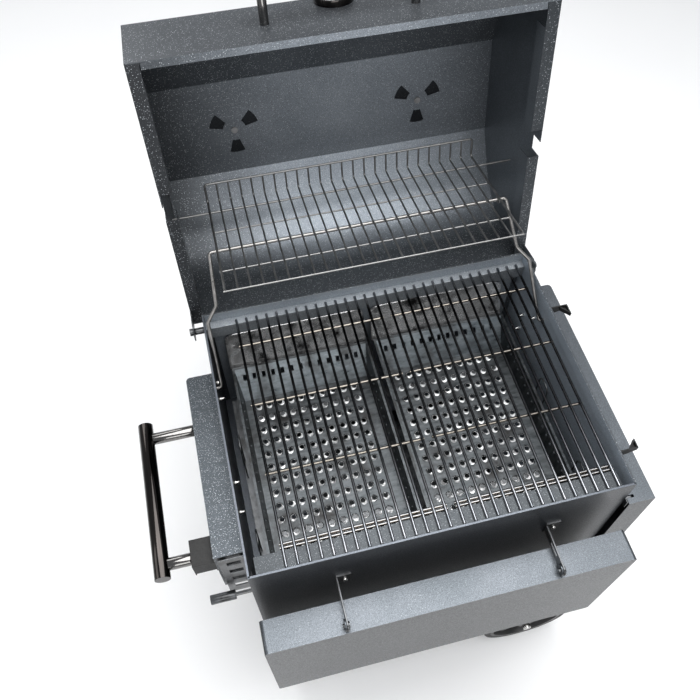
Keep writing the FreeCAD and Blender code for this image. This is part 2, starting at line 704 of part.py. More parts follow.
def push_handle_posts():
    """Two posts between the left panel and the push handle's bar."""
    reach = HANDLE_X + HANDLE_R - 1.5
    front = rod((reach, HANDLE_POST_Y[0], HANDLE_Z), (-84, HANDLE_POST_Y[0], HANDLE_Z), HANDLE_POST_R)
    rear = rod((reach, HANDLE_POST_Y[1], HANDLE_Z), (-PANEL_THICKNESS, HANDLE_POST_Y[1], HANDLE_Z),
               HANDLE_POST_R)
    bar = push_handle_bar()
    return group([front.cut(bar), rear.cut(bar)])


def handle_bracket():
    """Folded bracket between the left panel and the front post."""
    outer = box(-84, -82.5, 62, 106, -118, -78)
    top = box(-84, -PANEL_THICKNESS, 62, 106, -79.5, -78)
    tab = box(-PANEL_THICKNESS - 1.5, -PANEL_THICKNESS, 62, 106, -118, -78)
    gusset = box(-84, -PANEL_THICKNESS, 62, 63.5, -112, -78)
    return fuse([outer, top, tab, gusset])


def front_table_arm(x):
    """Slotted arm that sticks out of the front wall and carries the front table's pivot."""
    plate = box(x, x + 2.5, FRONT_TABLE_PIVOT[0], 0, -110.4, -91.6)
    tip = rod((x, -72, -101), (x + 2.5, -72, -101), 9.4)
    tab = box(x, x + 24, -2 * SHEET, 0, -120, -86)
    slot = box(x - 5, x + 5, -50, -27, -104, -98)
    y, z = FRONT_TABLE_PIVOT
    pin = rod((x - 5, y, z), (x + 5, y, z), PIN_R)
    return fuse([plate, tip, tab]).cut(slot).cut(pin).cut(screw_holes())


def table_lug(x):
    """Upright lug on the front table beside an arm."""
    y, z = FRONT_TABLE_PIVOT
    lug = box(x, x + 2.5, y - 8, y + 10, FRONT_TABLE_TOP_Z - 0.5, z)
    crown = rod((x, y + 1, z), (x + 2.5, y + 1, z), 9)
    return [lug, crown]


def front_table():
    """Folding front table, a shallow tray that hangs in front of the firebox."""
    x0, x1 = FRONT_TABLE_X
    y0, y1 = FRONT_TABLE_Y
    block = box(x0, x1, y0, y1, FRONT_TABLE_TOP_Z - FRONT_TABLE_DROP, FRONT_TABLE_TOP_Z)
    corners = edges_along(block, Y_AXIS, lambda c: True)
    block = block.makeFillet(6, corners)
    pieces = [hollow(block, Y_AXIS, SHEET)]
    for x in ARM_X:
        pieces += table_lug(x - 3.0)
    y, z = FRONT_TABLE_PIVOT
    shape = fuse(pieces)
    for x in ARM_X:
        shape = shape.cut(rod((x - 10, y, z), (x + 10, y, z), PIN_R + RUNNING))
    return shape


def front_table_pins():
    """Pivot pins fixed in the front arms."""
    y, z = FRONT_TABLE_PIVOT
    pins = []
    for x in ARM_X:
        shank = rod((x - 6, y, z), (x + 2.5, y, z), PIN_R)
        head = rod((x + 2.5, y, z), (x + 5, y, z), 5.0)
        pins.append(fuse([shank, head]))
    return group(pins)


def side_table():
    """Folding right side table, a shallow tray that hangs beside the firebox."""
    y0, y1 = SIDE_TABLE_Y
    x0 = SIDE_TABLE_INNER_X
    x1 = WIDTH + PANEL_THICKNESS
    block = box(x0, x1, y0, y1, PANEL_TOP_Z - SIDE_TABLE_DROP, PANEL_TOP_Z)
    corner = edges_along(block, Z_AXIS, lambda c: c.x > x0 + 10 and c.y > y1 - 1)
    block = block.makeFillet(PANEL_CORNER, corner)
    shape = hollow(block, V(-1, 0, 0), SHEET)
    px, pz = SIDE_TABLE_PIVOT
    for lug_y in (y0 + 12, y1 - 12):
        shape = shape.cut(box(x0 - 1, px + 5, lug_y - 2.3, lug_y + 2.3, PANEL_TOP_Z - 3, PANEL_TOP_Z + 3))
    return shape.cut(rod((px, y0 - 5, pz), (px, y1 + 5, pz), PIN_R + RUNNING))


def side_table_hinge():
    """Two wall lugs with pins that the side table turns on."""
    px, pz = SIDE_TABLE_PIVOT
    y0, y1 = SIDE_TABLE_Y
    hinges = []
    for lug_y, pin_end in ((y0 + 12, y0 + 0.3), (y1 - 12, y1 - 0.3)):
        lug = box(WIDTH, px, lug_y - 1.5, lug_y + 1.5, pz - 4, pz + 4)
        crown = rod((px, lug_y - 1.5, pz), (px, lug_y + 1.5, pz), 4)
        foot = box(WIDTH, WIDTH + 1.5, lug_y - 10, lug_y + 10, pz - 9, pz + 9)
        pin = rod((px, lug_y, pz), (px, pin_end, pz), PIN_R)
        hinges.append(fuse([lug, crown, foot, pin]))
    return group(hinges)


def rim_brackets():
    """Two welded black gussets on the right wall below the rim, each ending in a folded hook."""
    end = WIDTH + BRACKET_REACH
    top, root, tip = BRACKET_Z
    brackets = []
    for plate_y, hook_y in BRACKET_Y:
        corners = [V(WIDTH, plate_y, top), V(end, plate_y, top), V(end, plate_y, tip),
                   V(WIDTH, plate_y, root), V(WIDTH, plate_y, top)]
        plate = Part.Face(Part.makePolygon(corners)).extrude(V(0, BRACKET_SHEET, 0))
        inward = BRACKET_SHEET if hook_y < plate_y else -BRACKET_SHEET
        hook = [V(end, plate_y, tip), V(end, hook_y, tip), V(end - BRACKET_RETURN, plate_y - inward, tip),
                V(end - BRACKET_RETURN + 3, plate_y - inward, tip),
                V(end - BRACKET_SHEET, hook_y + 2.5 * inward, tip), V(end - BRACKET_SHEET, plate_y, tip),
                V(end, plate_y, tip)]
        brackets.append(fuse([plate, Part.Face(Part.makePolygon(hook)).extrude(V(0, 0, top - tip))]))
    return group(brackets)


# ---------------------------------------------------------------- trolley

def leg(x, y, foot_z):
    """Square tube leg under a corner of the firebox."""
    top = -FIREBOX_HEIGHT - SHEET
    tube = box(x, x + LEG, y, y + LEG, foot_z, top)
    bore = box(x + LEG_WALL, x + LEG - LEG_WALL, y + LEG_WALL, y + LEG - LEG_WALL,
               foot_z - 1, top + 1)
    axle = rod((AXLE_X, -60, WHEEL_R - RIM_ABOVE_FLOOR), (AXLE_X, 560, WHEEL_R - RIM_ABOVE_FLOOR),
               AXLE_R)
    return tube.cut(bore).cut(axle)


def feet():
    """Plastic caps under the two left legs."""
    caps = []
    for y in (LEG_INSET, DEPTH - LEG_INSET - LEG):
        cap = box(LEG_INSET - 1, LEG_INSET + LEG + 1, y - 1, y + LEG + 1,
                  -RIM_ABOVE_FLOOR, -RIM_ABOVE_FLOOR + 12)
        upright = edges_along(cap, Z_AXIS, lambda c: True)
        tube = leg(LEG_INSET, y, FOOT_Z)
        caps.append(cap.makeFillet(4, upright).cut(tube))
    return group(caps)


def cross_rail(y, z):
    """Rail along x between two legs."""
    inner = LEG_INSET + LEG
    return box(inner, WIDTH - inner, y, y + 20, z - 20, z)


def bottom_shelf():
    """Shallow tray shelf between the legs."""
    block = box(LEG_INSET + 2, WIDTH - LEG_INSET - 2, LEG_INSET + LEG, DEPTH - LEG_INSET - LEG,
                SHELF_Z, SHELF_Z + SHELF_LIP)
    return hollow(block, Z_AXIS, SHEET)


def axle():
    """Steel axle through the two right legs."""
    z = WHEEL_R - RIM_ABOVE_FLOOR
    reach = WHEEL_OUT - AXLE_END
    return rod((AXLE_X, reach, z), (AXLE_X, DEPTH - reach, z), AXLE_R)


def axle_nuts():
    """Cap nuts on the axle's ends."""
    z = WHEEL_R - RIM_ABOVE_FLOOR
    nuts = []
    for face, outward in ((WHEEL_OUT, -1), (DEPTH - WHEEL_OUT, 1)):
        start = face + outward * 0.5
        tip = face + outward * AXLE_END
        nut = rod((AXLE_X, start, z), (AXLE_X, tip + outward * 3, z), 9)
        nuts.append(nut.cut(rod((AXLE_X, start - outward, z), (AXLE_X, tip, z), AXLE_R)))
    return group(nuts)


def wheel(y0):
    """Spoked plastic wheel with a hub bored for the axle."""
    z = WHEEL_R - RIM_ABOVE_FLOOR
    rim_r = WHEEL_R - TYRE_DEPTH
    y1 = y0 + WHEEL_WIDTH

    def ring(outer, inner, start, end):
        solid = rod((AXLE_X, start, z), (AXLE_X, end, z), outer)
        return solid.cut(rod((AXLE_X, start - 1, z), (AXLE_X, end + 1, z), inner))
    pieces = [ring(rim_r, rim_r - 8, y0, y1), ring(17, AXLE_R + 0.08, y0, y1)]
    for k in range(5):
        spoke = box(AXLE_X - 7, AXLE_X + 7, y0 + 9, y1 - 9, z + 14, z + rim_r - 4)
        spoke.rotate(V(AXLE_X, 0, z), Y_AXIS, 72 * k)
        pieces.append(spoke)
    return fuse(pieces)


def tyre(y0):
    """Rubber tyre with rounded shoulders."""
    z = WHEEL_R - RIM_ABOVE_FLOOR
    band = rod((AXLE_X, y0, z), (AXLE_X, y0 + WHEEL_WIDTH, z), WHEEL_R)
    shoulders = [e for e in band.Edges if e.Closed and len(e.Vertexes) == 1]
    band = band.makeFillet(6, shoulders)
    return band.cut(rod((AXLE_X, y0 - 1, z), (AXLE_X, y0 + WHEEL_WIDTH + 1, z), WHEEL_R - TYRE_DEPTH))


def build():
    """Every piece of the grill by name, in the working frame."""
    far_leg_y = DEPTH - LEG_INSET - LEG
    far_leg_x = WIDTH - LEG_INSET - LEG
    stub = WHEEL_R - RIM_ABOVE_FLOOR - 18
    rear_wheel_y = DEPTH - WHEEL_OUT - WHEEL_WIDTH
    nodes = {
        "firebox_front_wall": firebox_front_wall(),
        "firebox_rear_wall": firebox_rear_wall(),
        "firebox_left_wall": firebox_left_wall(),
        "firebox_right_wall": firebox_right_wall(),
        "firebox_floor": firebox_floor(),
        "front_ledge": front_ledge(),
        "rear_ledge": rear_ledge(),
        "rear_shield_left": rear_shield(*PAN_X[0]),
        "rear_shield_right": rear_shield(*PAN_X[1]),
        "wall_screws": wall_screws(),
        "grate_left": grate(GRATE_FIRST_X[0]),
        "grate_right": grate(GRATE_FIRST_X[1]),
        "coal_pan_left": coal_pan(*PAN_X[0]),
        "coal_pan_right": coal_pan(*PAN_X[1]),
        "pan_carrier": pan_carrier(),
        "lift_lever": lift_lever(),
        "lift_rack": lift_rack(),
        "ash_drawer": ash_drawer(),
        "ash_drawer_handle": ash_drawer_handle(),
        "drawer_runners": drawer_runners(),
        "lid_shell": lid_shell(),
        "lid_side_left": lid_side(-LID_WALL_OUT, 1),
        "lid_side_right": lid_side(WIDTH + LID_WALL_OUT, -1),
        "hinge_bolts": hinge_bolts(),
        "lid_handle_bar": lid_handle_bar(),
        "lid_handle_posts": lid_handle_posts(),
        "thermometer_bezel": thermometer_bezel(),
        "thermometer_dial": thermometer_dial(),
        "thermometer_needle": thermometer_needle(),
        "vent_disc_left": vent_disc(VENT_X[0]),
        "vent_disc_right": vent_disc(VENT_X[1]),
        "vent_rivets": vent_rivets(),
        "rack_bail": rack_bail(),
        "warming_rack": warming_rack(),
        "left_panel": left_panel(),
        "push_handle_bar": push_handle_bar(),
        "push_handle_posts": push_handle_posts(),
        "handle_bracket": handle_bracket(),
        "front_table_arm_left": front_table_arm(ARM_X[0]),
        "front_table_arm_right": front_table_arm(ARM_X[1]),
        "front_table": front_table(),
        "front_table_pins": front_table_pins(),
        "side_table": side_table(),
        "side_table_hinge": side_table_hinge(),
        "rim_brackets": rim_brackets(),
        "leg_front_left": leg(LEG_INSET, LEG_INSET, FOOT_Z),
        "leg_rear_left": leg(LEG_INSET, far_leg_y, FOOT_Z),
        "leg_front_right": leg(far_leg_x, LEG_INSET, stub),
        "leg_rear_right": leg(far_leg_x, far_leg_y, stub),
        "feet": feet(),
        "rail_front": cross_rail(LEG_INSET, -FIREBOX_HEIGHT - 30),
        "rail_rear": cross_rail(DEPTH - LEG_INSET - 20, -FIREBOX_HEIGHT - 30),
        "bottom_shelf": bottom_shelf(),
        "axle": axle(),
        "axle_nuts": axle_nuts(),
        "wheel_front": wheel(WHEEL_OUT),
        "tyre_front": tyre(WHEEL_OUT),
        "wheel_rear": wheel(rear_wheel_y),
        "tyre_rear": tyre(rear_wheel_y),
    }
    return nodes


def main():
    """Build the grill, move it to its own origin and write one STEP file for each piece."""
    nodes = build()
    whole = group(list(nodes.values())).optimalBoundingBox()
    shift = V(-whole.Center.x, -whole.Center.y, -whole.ZMin)
    print("shift", shift.x, shift.y, shift.z, "size", whole.XLength, whole.YLength, whole.ZLength)
    os.makedirs("parts", exist_ok=True)
    for name, shape in nodes.items():
        if not shape.isValid() or not shape.Solids:
            print("check", name)
        shape.translate(shift)
        shape.exportStep(os.path.join("parts", name + ".step"))
    print(len(nodes), "nodes")


main()
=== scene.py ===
import json
import math
import random

import bmesh
import bpy
from mathutils import Matrix, Vector, noise


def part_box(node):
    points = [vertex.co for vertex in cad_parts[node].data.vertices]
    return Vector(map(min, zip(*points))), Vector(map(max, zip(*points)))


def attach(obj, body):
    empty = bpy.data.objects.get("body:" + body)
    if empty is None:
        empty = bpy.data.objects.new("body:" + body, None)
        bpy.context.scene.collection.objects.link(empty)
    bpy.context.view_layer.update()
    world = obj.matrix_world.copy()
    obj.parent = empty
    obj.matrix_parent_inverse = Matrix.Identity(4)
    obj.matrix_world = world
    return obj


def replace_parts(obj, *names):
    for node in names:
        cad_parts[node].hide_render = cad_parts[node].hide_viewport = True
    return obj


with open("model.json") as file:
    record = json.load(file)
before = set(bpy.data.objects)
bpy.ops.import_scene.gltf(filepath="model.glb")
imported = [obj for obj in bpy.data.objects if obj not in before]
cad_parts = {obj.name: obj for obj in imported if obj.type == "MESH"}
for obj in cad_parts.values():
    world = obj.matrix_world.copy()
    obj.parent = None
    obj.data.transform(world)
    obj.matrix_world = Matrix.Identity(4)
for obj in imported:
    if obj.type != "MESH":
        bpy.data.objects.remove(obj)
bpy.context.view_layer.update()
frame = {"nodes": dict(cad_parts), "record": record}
nodes = frame["nodes"]
scene = bpy.context.scene
rng = random.Random(41)

# The drawing zero of the grill: front left outer corner of the firebox rim.
wall_low, wall_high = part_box("firebox_front_wall")
ZERO = Vector((wall_low.x, wall_low.y, wall_high.z))
MM = 0.001


def at(x, y, z):
    """A point in millimetres from the rim's front left corner, in the shared frame."""
    return ZERO + Vector((x, y, z)) * MM


# ------------------------------------------------------------------ materials

def new_material(name):
    mat = bpy.data.materials.new(name)
    mat.use_nodes = True
    tree = mat.node_tree
    return mat, tree, tree.nodes["Principled BSDF"]


def node(tree, kind, **values):
    """A shader node with named input values; keys that start with an underscore are properties."""
    n = tree.nodes.new(kind)
    for key, value in values.items():
        if key.startswith("_"):
            setattr(n, key[1:], value)
        else:
            n.inputs[key.replace("_", " ")].default_value = value
    return n


def link(tree, a, out, b, inp):
    tree.links.new(a.outputs[out], b.inputs[inp])


def coords(tree, scale=(1, 1, 1)):
    """Places on the object, in metres, stretched by a scale."""
    place = node(tree, "ShaderNodeTexCoord")
    stretched = node(tree, "ShaderNodeMapping")
    stretched.inputs["Scale"].default_value = scale
    link(tree, place, "Object", stretched, "Vector")
    return stretched


def split_coords(tree, output):
    """The x, y and z of one output of a texture coordinate node."""
    place = node(tree, "ShaderNodeTexCoord")
    split = node(tree, "ShaderNodeSeparateXYZ")
    link(tree, place, output, split, "Vector")
    return split


def ramp(tree, stops, interpolation="LINEAR"):
    """A colour ramp with stops of (position, colour)."""
    r = tree.nodes.new("ShaderNodeValToRGB")
    r.color_ramp.interpolation = interpolation
    elements = r.color_ramp.elements
    while len(elements) < len(stops):
        elements.new(0.5)
    for element, (pos, colour) in zip(elements, stops):
        element.position = pos
        element.color = (*colour, 1)
    return r


def grey(v):
    return (v, v, v)


def mix_colour(tree, blend="MIX"):
    return node(tree, "ShaderNodeMix", _data_type="RGBA", _blend_type=blend)


def product(tree, one, one_out, two, two_out):
    """A node whose Result is the product of two colours."""
    both = mix_colour(tree, "MULTIPLY")
    both.inputs["Factor"].default_value = 1.0
    link(tree, one, one_out, both, "A")
    link(tree, two, two_out, both, "B")
    return both


def toward_side(tree, side):
    """How squarely the surface faces a direction of the object's own axes, 1 at the most."""
    place = node(tree, "ShaderNodeTexCoord")
    facing = node(tree, "ShaderNodeVectorMath", _operation="DOT_PRODUCT")
    facing.inputs[1].default_value = side
    link(tree, place, "Normal", facing, 0)
    return facing


def math_node(tree, operation, source, output, *constants):
    """A Math node fed by one output, with its other inputs set to constants."""
    n = node(tree, "ShaderNodeMath", _operation=operation)
    link(tree, source, output, n, 0)
    for index, value in enumerate(constants, 1):
        n.inputs[index].default_value = value
    return n


def finish_surface(tree, bsdf, grain, rough_low, rough_high, bump, depth, metallic):
    """Roughness and bump from one grain texture, and the metallic value of the surface."""
    rough = ramp(tree, [(0.3, grey(rough_low)), (0.7, grey(rough_high))])
    link(tree, grain, "Fac", rough, "Fac")
    link(tree, rough, "Color", bsdf, "Roughness")
    relief = node(tree, "ShaderNodeBump", Strength=bump, Distance=depth)
    link(tree, grain, "Fac", relief, "Height")
    link(tree, relief, "Normal", bsdf, "Normal")
    bsdf.inputs["Metallic"].default_value = metallic


FLAKE_CORE = 0.3


def flakes_mask(tree, pos, grain, amount):
    """Small round silver flakes: the cores of some of the cells of a fine cell pattern."""
    cells = node(tree, "ShaderNodeTexVoronoi", Scale=float(grain), Randomness=1.0)
    link(tree, pos, "Vector", cells, "Vector")
    split = node(tree, "ShaderNodeSeparateColor")
    link(tree, cells, "Color", split, "Color")
    pick = ramp(tree, [(1 - amount, grey(0)), (1 - amount * 0.4, grey(1))])
    link(tree, split, "Red", pick, "Fac")
    near = ramp(tree, [(FLAKE_CORE * 0.5, grey(1)), (FLAKE_CORE, grey(0))])
    link(tree, cells, "Distance", near, "Fac")
    mask = math_node(tree, "MULTIPLY", pick, "Color")
    link(tree, near, "Color", mask, 1)
    return mask


def hammered(name, low, high, speck, top=1.0, amount=0.5, metallic=0.75, roughness=0.36, grain=430,
             facing=(0, 0, 1), sheen=None):
    """Hammered powder paint: orange peel, silver flakes and slow drift, with painted light: a lighter
    tone painted on the side that faces one way. With sheen, that painted light rises and falls
    along the piece's width as a painted sheen."""
    mat, tree, bsdf = new_material(name)
    pos = coords(tree)
    drift = node(tree, "ShaderNodeTexNoise", Scale=7.0, Detail=3.0, Roughness=0.55)
    link(tree, pos, "Vector", drift, "Vector")
    base = ramp(tree, [(0.3, low), (0.7, high)])
    link(tree, drift, "Fac", base, "Fac")

    # Painted light: the side that faces one way is painted lighter, by up to the top gain.
    toward = toward_side(tree, Vector(facing).normalized())
    painted_lit_side = ramp(tree, [(0.55, grey(1)), (0.97, grey(top))])
    link(tree, toward, "Value", painted_lit_side, "Fac")
    # Painted sheen: the painted light rises and falls along the piece's width.
    if sheen:
        along = split_coords(tree, "Generated")
        rise = ramp(tree, [(place, grey(share)) for place, share in sheen], "B_SPLINE")
        link(tree, along, "X", rise, "Fac")
        painted_sheen = mix_colour(tree)
        painted_sheen.inputs["A"].default_value = (1, 1, 1, 1)
        link(tree, rise, "Color", painted_sheen, "Factor")
        link(tree, painted_lit_side, "Color", painted_sheen, "B")
        painted_light_tone = product(tree, base, "Color", painted_sheen, "Result")
    else:
        painted_light_tone = product(tree, base, "Color", painted_lit_side, "Color")

    pepper = node(tree, "ShaderNodeTexNoise", Scale=900.0, Detail=1.0, Roughness=0.5)
    link(tree, pos, "Vector", pepper, "Vector")
    grain_tone = ramp(tree, [(0.35, grey(0.72)), (0.68, grey(1.35))])
    link(tree, pepper, "Fac", grain_tone, "Fac")
    grained = product(tree, painted_light_tone, "Result", grain_tone, "Color")

    mask = flakes_mask(tree, pos, grain, amount)
    flakes = mix_colour(tree)
    flakes.inputs["B"].default_value = (*speck, 1)
    link(tree, mask, "Value", flakes, "Factor")
    link(tree, grained, "Result", flakes, "A")
    link(tree, flakes, "Result", bsdf, "Base Color")

    peel = node(tree, "ShaderNodeTexNoise", Scale=420.0, Detail=2.0, Roughness=0.5)
    link(tree, pos, "Vector", peel, "Vector")
    bump = node(tree, "ShaderNodeBump", Strength=0.3, Distance=0.0005)
    link(tree, peel, "Fac", bump, "Height")
    link(tree, bump, "Normal", bsdf, "Normal")
    rough = ramp(tree, [(0.3, grey(roughness - 0.06)), (0.75, grey(roughness + 0.08))])
    link(tree, peel, "Fac", rough, "Fac")
    link(tree, rough, "Color", bsdf, "Roughness")
    bsdf.inputs["Metallic"].default_value = metallic
    return mat


def metal(name, dark, light, rough_low, rough_high, streak=(1, 1, 1), scale=60.0, bump=0.1,
          stains_and_shade=None, metallic=1.0, painted_end_highlight=None, cross=None):
    """Bare or plated metal: drifting tone, streaks, fine bump and dark patches, which are stains on
    most metals and painted shade of the folds on the baffle sheets. A gain for the ends paints a
    highlight on the front and rear ends, and cross is the tone of the rods that lie crossways."""
    mat, tree, bsdf = new_material(name)
    pos = coords(tree, scale=streak)
    grain = node(tree, "ShaderNodeTexNoise", Scale=scale, Detail=4.0, Roughness=0.6)
    link(tree, pos, "Vector", grain, "Vector")
    tone = ramp(tree, [(0.3, dark), (0.7, light)])
    link(tree, grain, "Fac", tone, "Fac")
    surface = (tone, "Color")
    # Dark patches: stains on most metals, and painted shade of the folds on the baffle sheets.
    if stains_and_shade:
        stain_and_shade_colour, stain_and_shade_scale = stains_and_shade
        wide = coords(tree)
        patches = node(tree, "ShaderNodeTexNoise", Scale=stain_and_shade_scale, Detail=5.0, Roughness=0.65)
        link(tree, wide, "Vector", patches, "Vector")
        where = ramp(tree, [(0.5, grey(0)), (0.68, grey(1))])
        link(tree, patches, "Fac", where, "Fac")
        stained_and_shaded = mix_colour(tree)
        stained_and_shaded.inputs["B"].default_value = (*stain_and_shade_colour, 1)
        link(tree, where, "Color", stained_and_shaded, "Factor")
        link(tree, tone, "Color", stained_and_shaded, "A")
        surface = (stained_and_shaded, "Result")
    # Painted highlight: the front and rear ends are made lighter by a gain, and the middle keeps the
    # dark tone.
    if painted_end_highlight:
        along = split_coords(tree, "Generated")
        halfway = 0.75 + 0.25 * painted_end_highlight
        ends = ramp(tree, [(0.06, grey(painted_end_highlight)), (0.13, grey(halfway)), (0.34, grey(1)),
                           (0.93, grey(1)), (0.96, grey(painted_end_highlight))])
        link(tree, along, "Y", ends, "Fac")
        surface = (product(tree, *surface, ends, "Color"), "Result")
    if cross:
        turned = split_coords(tree, "Normal")
        steep = math_node(tree, "ABSOLUTE", turned, "Y")
        rods = ramp(tree, [(0.12, grey(0)), (0.3, grey(1))])
        link(tree, steep, "Value", rods, "Fac")
        crossed = mix_colour(tree)
        crossed.inputs["B"].default_value = (*cross, 1)
        link(tree, rods, "Color", crossed, "Factor")
        link(tree, *surface, crossed, "A")
        surface = (crossed, "Result")
    link(tree, *surface, bsdf, "Base Color")
    finish_surface(tree, bsdf, grain, rough_low, rough_high, bump, 0.0005, metallic)
    return mat


def plastic(name, low, high, rough_low, rough_high, scale=300.0, bump=0.25):
    """Moulded plastic or rubber with a fine grain and soft tone changes."""
    mat, tree, bsdf = new_material(name)
    pos = coords(tree)
    grain = node(tree, "ShaderNodeTexNoise", Scale=scale, Detail=3.0)
    link(tree, pos, "Vector", grain, "Vector")
    drift = node(tree, "ShaderNodeTexNoise", Scale=14.0, Detail=2.0)
    link(tree, pos, "Vector", drift, "Vector")
    tone = ramp(tree, [(0.3, low), (0.7, high)])
    link(tree, drift, "Fac", tone, "Fac")
    link(tree, tone, "Color", bsdf, "Base Color")
    finish_surface(tree, bsdf, grain, rough_low, rough_high, bump, 0.0004, 0.0)
    return mat


# PAINT and the paints after it down to PAINT_PANEL are lighter and darker copies of one hammered
# paint, one for each part or group of parts. Their base tones and top gains are painted light and
# shade, set by how brightly each part is lit, and the lid's sheen is a painted sheen.
PAINT = hammered("dark_hammered_paint", (0.100, 0.115, 0.132), (0.130, 0.147, 0.165),
                 (0.62, 0.66, 0.70), top=1.2, metallic=0.55, roughness=0.4)
PAINT_LID = hammered("lid_hammered_paint", (0.050, 0.056, 0.063), (0.068, 0.075, 0.083),
                     (0.60, 0.63, 0.66), top=4.7, amount=0.6, metallic=0.5, roughness=0.38,
                     facing=(0, -0.75, 0.66),
                     sheen=((0.0, 0.0), (0.12, 0.1), (0.36, 1.0), (0.7, 0.9), (1.0, 0.35)))
PAINT_DARK = hammered("end_hammered_paint", (0.020, 0.022, 0.025), (0.030, 0.033, 0.037),
                      (0.55, 0.58, 0.62), top=1.3, amount=0.7, metallic=0.5, roughness=0.42)
PAINT_LEDGE = hammered("ledge_hammered_paint", (0.030, 0.034, 0.038), (0.044, 0.050, 0.055),
                       (0.34, 0.36, 0.38), top=1.3, amount=0.5, metallic=0.5, roughness=0.42,
                       grain=620)
PAINT_RIGHT_END = hammered("right_end_hammered_paint", (0.034, 0.039, 0.044), (0.048, 0.054, 0.060),
                           (0.55, 0.58, 0.62), top=2.6, amount=0.6, metallic=0.55, roughness=0.42,
                           facing=(-1, 0, 0))
PAINT_RIGHT_WALL = hammered("right_wall_hammered_paint", (0.045, 0.052, 0.060),
                            (0.058, 0.066, 0.075), (0.60, 0.64, 0.68), top=6.6, metallic=0.45,
                            roughness=0.42, grain=520, facing=(-1, 0, 0))
PAINT_REAR_WALL = hammered("rear_wall_hammered_paint", (0.045, 0.050, 0.056), (0.060, 0.066, 0.072),
                           (0.50, 0.54, 0.58), top=5.0, metallic=0.5, roughness=0.4,
                           facing=(0, -1, 0))
PAINT_FRONT = hammered("front_hammered_paint", (0.028, 0.031, 0.036), (0.040, 0.044, 0.050),
                       (0.16, 0.17, 0.18), top=3.0, amount=0.35)
PAINT_REAR = hammered("rear_ledge_paint", (0.19, 0.205, 0.22), (0.25, 0.27, 0.29), (0.62, 0.66, 0.70),
                      top=1.2, metallic=0.5, roughness=0.4)
PAINT_TABLE = hammered("table_hammered_paint", (0.024, 0.027, 0.030), (0.034, 0.037, 0.041),
                       (0.20, 0.22, 0.23), top=3.5, amount=0.35)
PAINT_PANEL = hammered("panel_hammered_paint", (0.032, 0.037, 0.042), (0.044, 0.050, 0.056),
                       (0.74, 0.78, 0.82), top=1.5, amount=0.62, grain=640)
FRAME_BLACK = hammered("black_frame_paint", grey(0.014), grey(0.022), grey(0.16), amount=0.15,
                       metallic=0.2, roughness=0.4)
BRACKET_BLACK = hammered("black_bracket_paint", grey(0.003), grey(0.005), grey(0.03), amount=0.1,
                         metallic=0.0, roughness=0.62)
GALVANISED = metal("galvanised_sheet", (0.038, 0.043, 0.046), (0.120, 0.128, 0.134), 0.26, 0.45,
                   streak=(1, 4, 1), scale=36.0, bump=0.3, stains_and_shade=((0.035, 0.035, 0.035), 16.0))
# Painted highlight: the burrs, torn from the dark pan sheet, take a near-white tone that stands in
# for the glints on their rims.
BURR = metal("burr_steel", (0.90, 0.91, 0.92), (0.98, 0.98, 0.98), 0.3, 0.45, scale=160.0,
             metallic=0.6)


# How far the edge of the painted shade round each hole wanders, in metres, and the factor that brings
# the distance from a hole into the reach of a ramp.
HOLE_SHADE_RAGGED = 0.004
HOLE_SHADE_RAMP_SCALE = 100.0
PAN_REAR_FACING = (0.0, -0.69, 0.72)


def painted_shade_pan(name, first, pitch, count):
    """Galvanised sheet with painted shade round every hole of an even pattern, standing in for the
    shade in the holes' dimples, and a rear slope painted lighter as painted light.

    first and pitch are in metres, and count is the number of holes along x and y."""
    mat = GALVANISED.copy()
    mat.name = name
    tree = mat.node_tree
    bsdf = tree.nodes["Principled BSDF"]
    sheet_colour = bsdf.inputs["Base Color"].links[0].from_socket
    place = split_coords(tree, "Object")
    offset = node(tree, "ShaderNodeCombineXYZ")
    for axis, start, step, number in zip("XY", first, pitch, count):
        shift = math_node(tree, "SUBTRACT", place, axis, start)
        steps = math_node(tree, "DIVIDE", shift, "Value", step)
        whole = math_node(tree, "ROUND", steps, "Value")
        inside = node(tree, "ShaderNodeClamp", Min=0.0, Max=float(number - 1))
        link(tree, whole, "Value", inside, "Value")
        nearest = math_node(tree, "MULTIPLY_ADD", inside, "Result", -step)
        link(tree, shift, "Value", nearest, 2)
        link(tree, nearest, "Value", offset, axis)
    # Painted shade: the sheet is darkened in a ragged ring round the nearest hole.
    ragged = node(tree, "ShaderNodeTexNoise", Scale=240.0, Detail=2.0)
    link(tree, coords(tree), "Vector", ragged, "Vector")
    reach = math_node(tree, "MULTIPLY_ADD", ragged, "Fac", -HOLE_SHADE_RAGGED, HOLE_SHADE_RAGGED / 2)
    distance = node(tree, "ShaderNodeVectorMath", _operation="LENGTH")
    link(tree, offset, "Vector", distance, 0)
    total = math_node(tree, "ADD", distance, "Value")
    link(tree, reach, "Value", total, 1)
    scaled = math_node(tree, "MULTIPLY", total, "Value", HOLE_SHADE_RAMP_SCALE)
    hole_shade = ramp(tree, [(0.56, grey(0.12)), (0.66, grey(1))])
    link(tree, scaled, "Value", hole_shade, "Fac")
    hole_shaded = mix_colour(tree, "MULTIPLY")
    hole_shaded.inputs["Factor"].default_value = 1.0
    tree.links.new(sheet_colour, hole_shaded.inputs["A"])
    link(tree, hole_shade, "Color", hole_shaded, "B")
    # Painted light: the rear slope, which faces PAN_REAR_FACING, is painted about two and a half
    # times lighter.
    toward = toward_side(tree, PAN_REAR_FACING)
    slope = ramp(tree, [(0.88, grey(1)), (0.98, (2.5, 2.6, 2.65))])
    link(tree, toward, "Value", slope, "Fac")
    painted_lit_slope = product(tree, hole_shaded, "Result", slope, "Color")
    link(tree, painted_lit_slope, "Result", bsdf, "Base Color")
    return mat


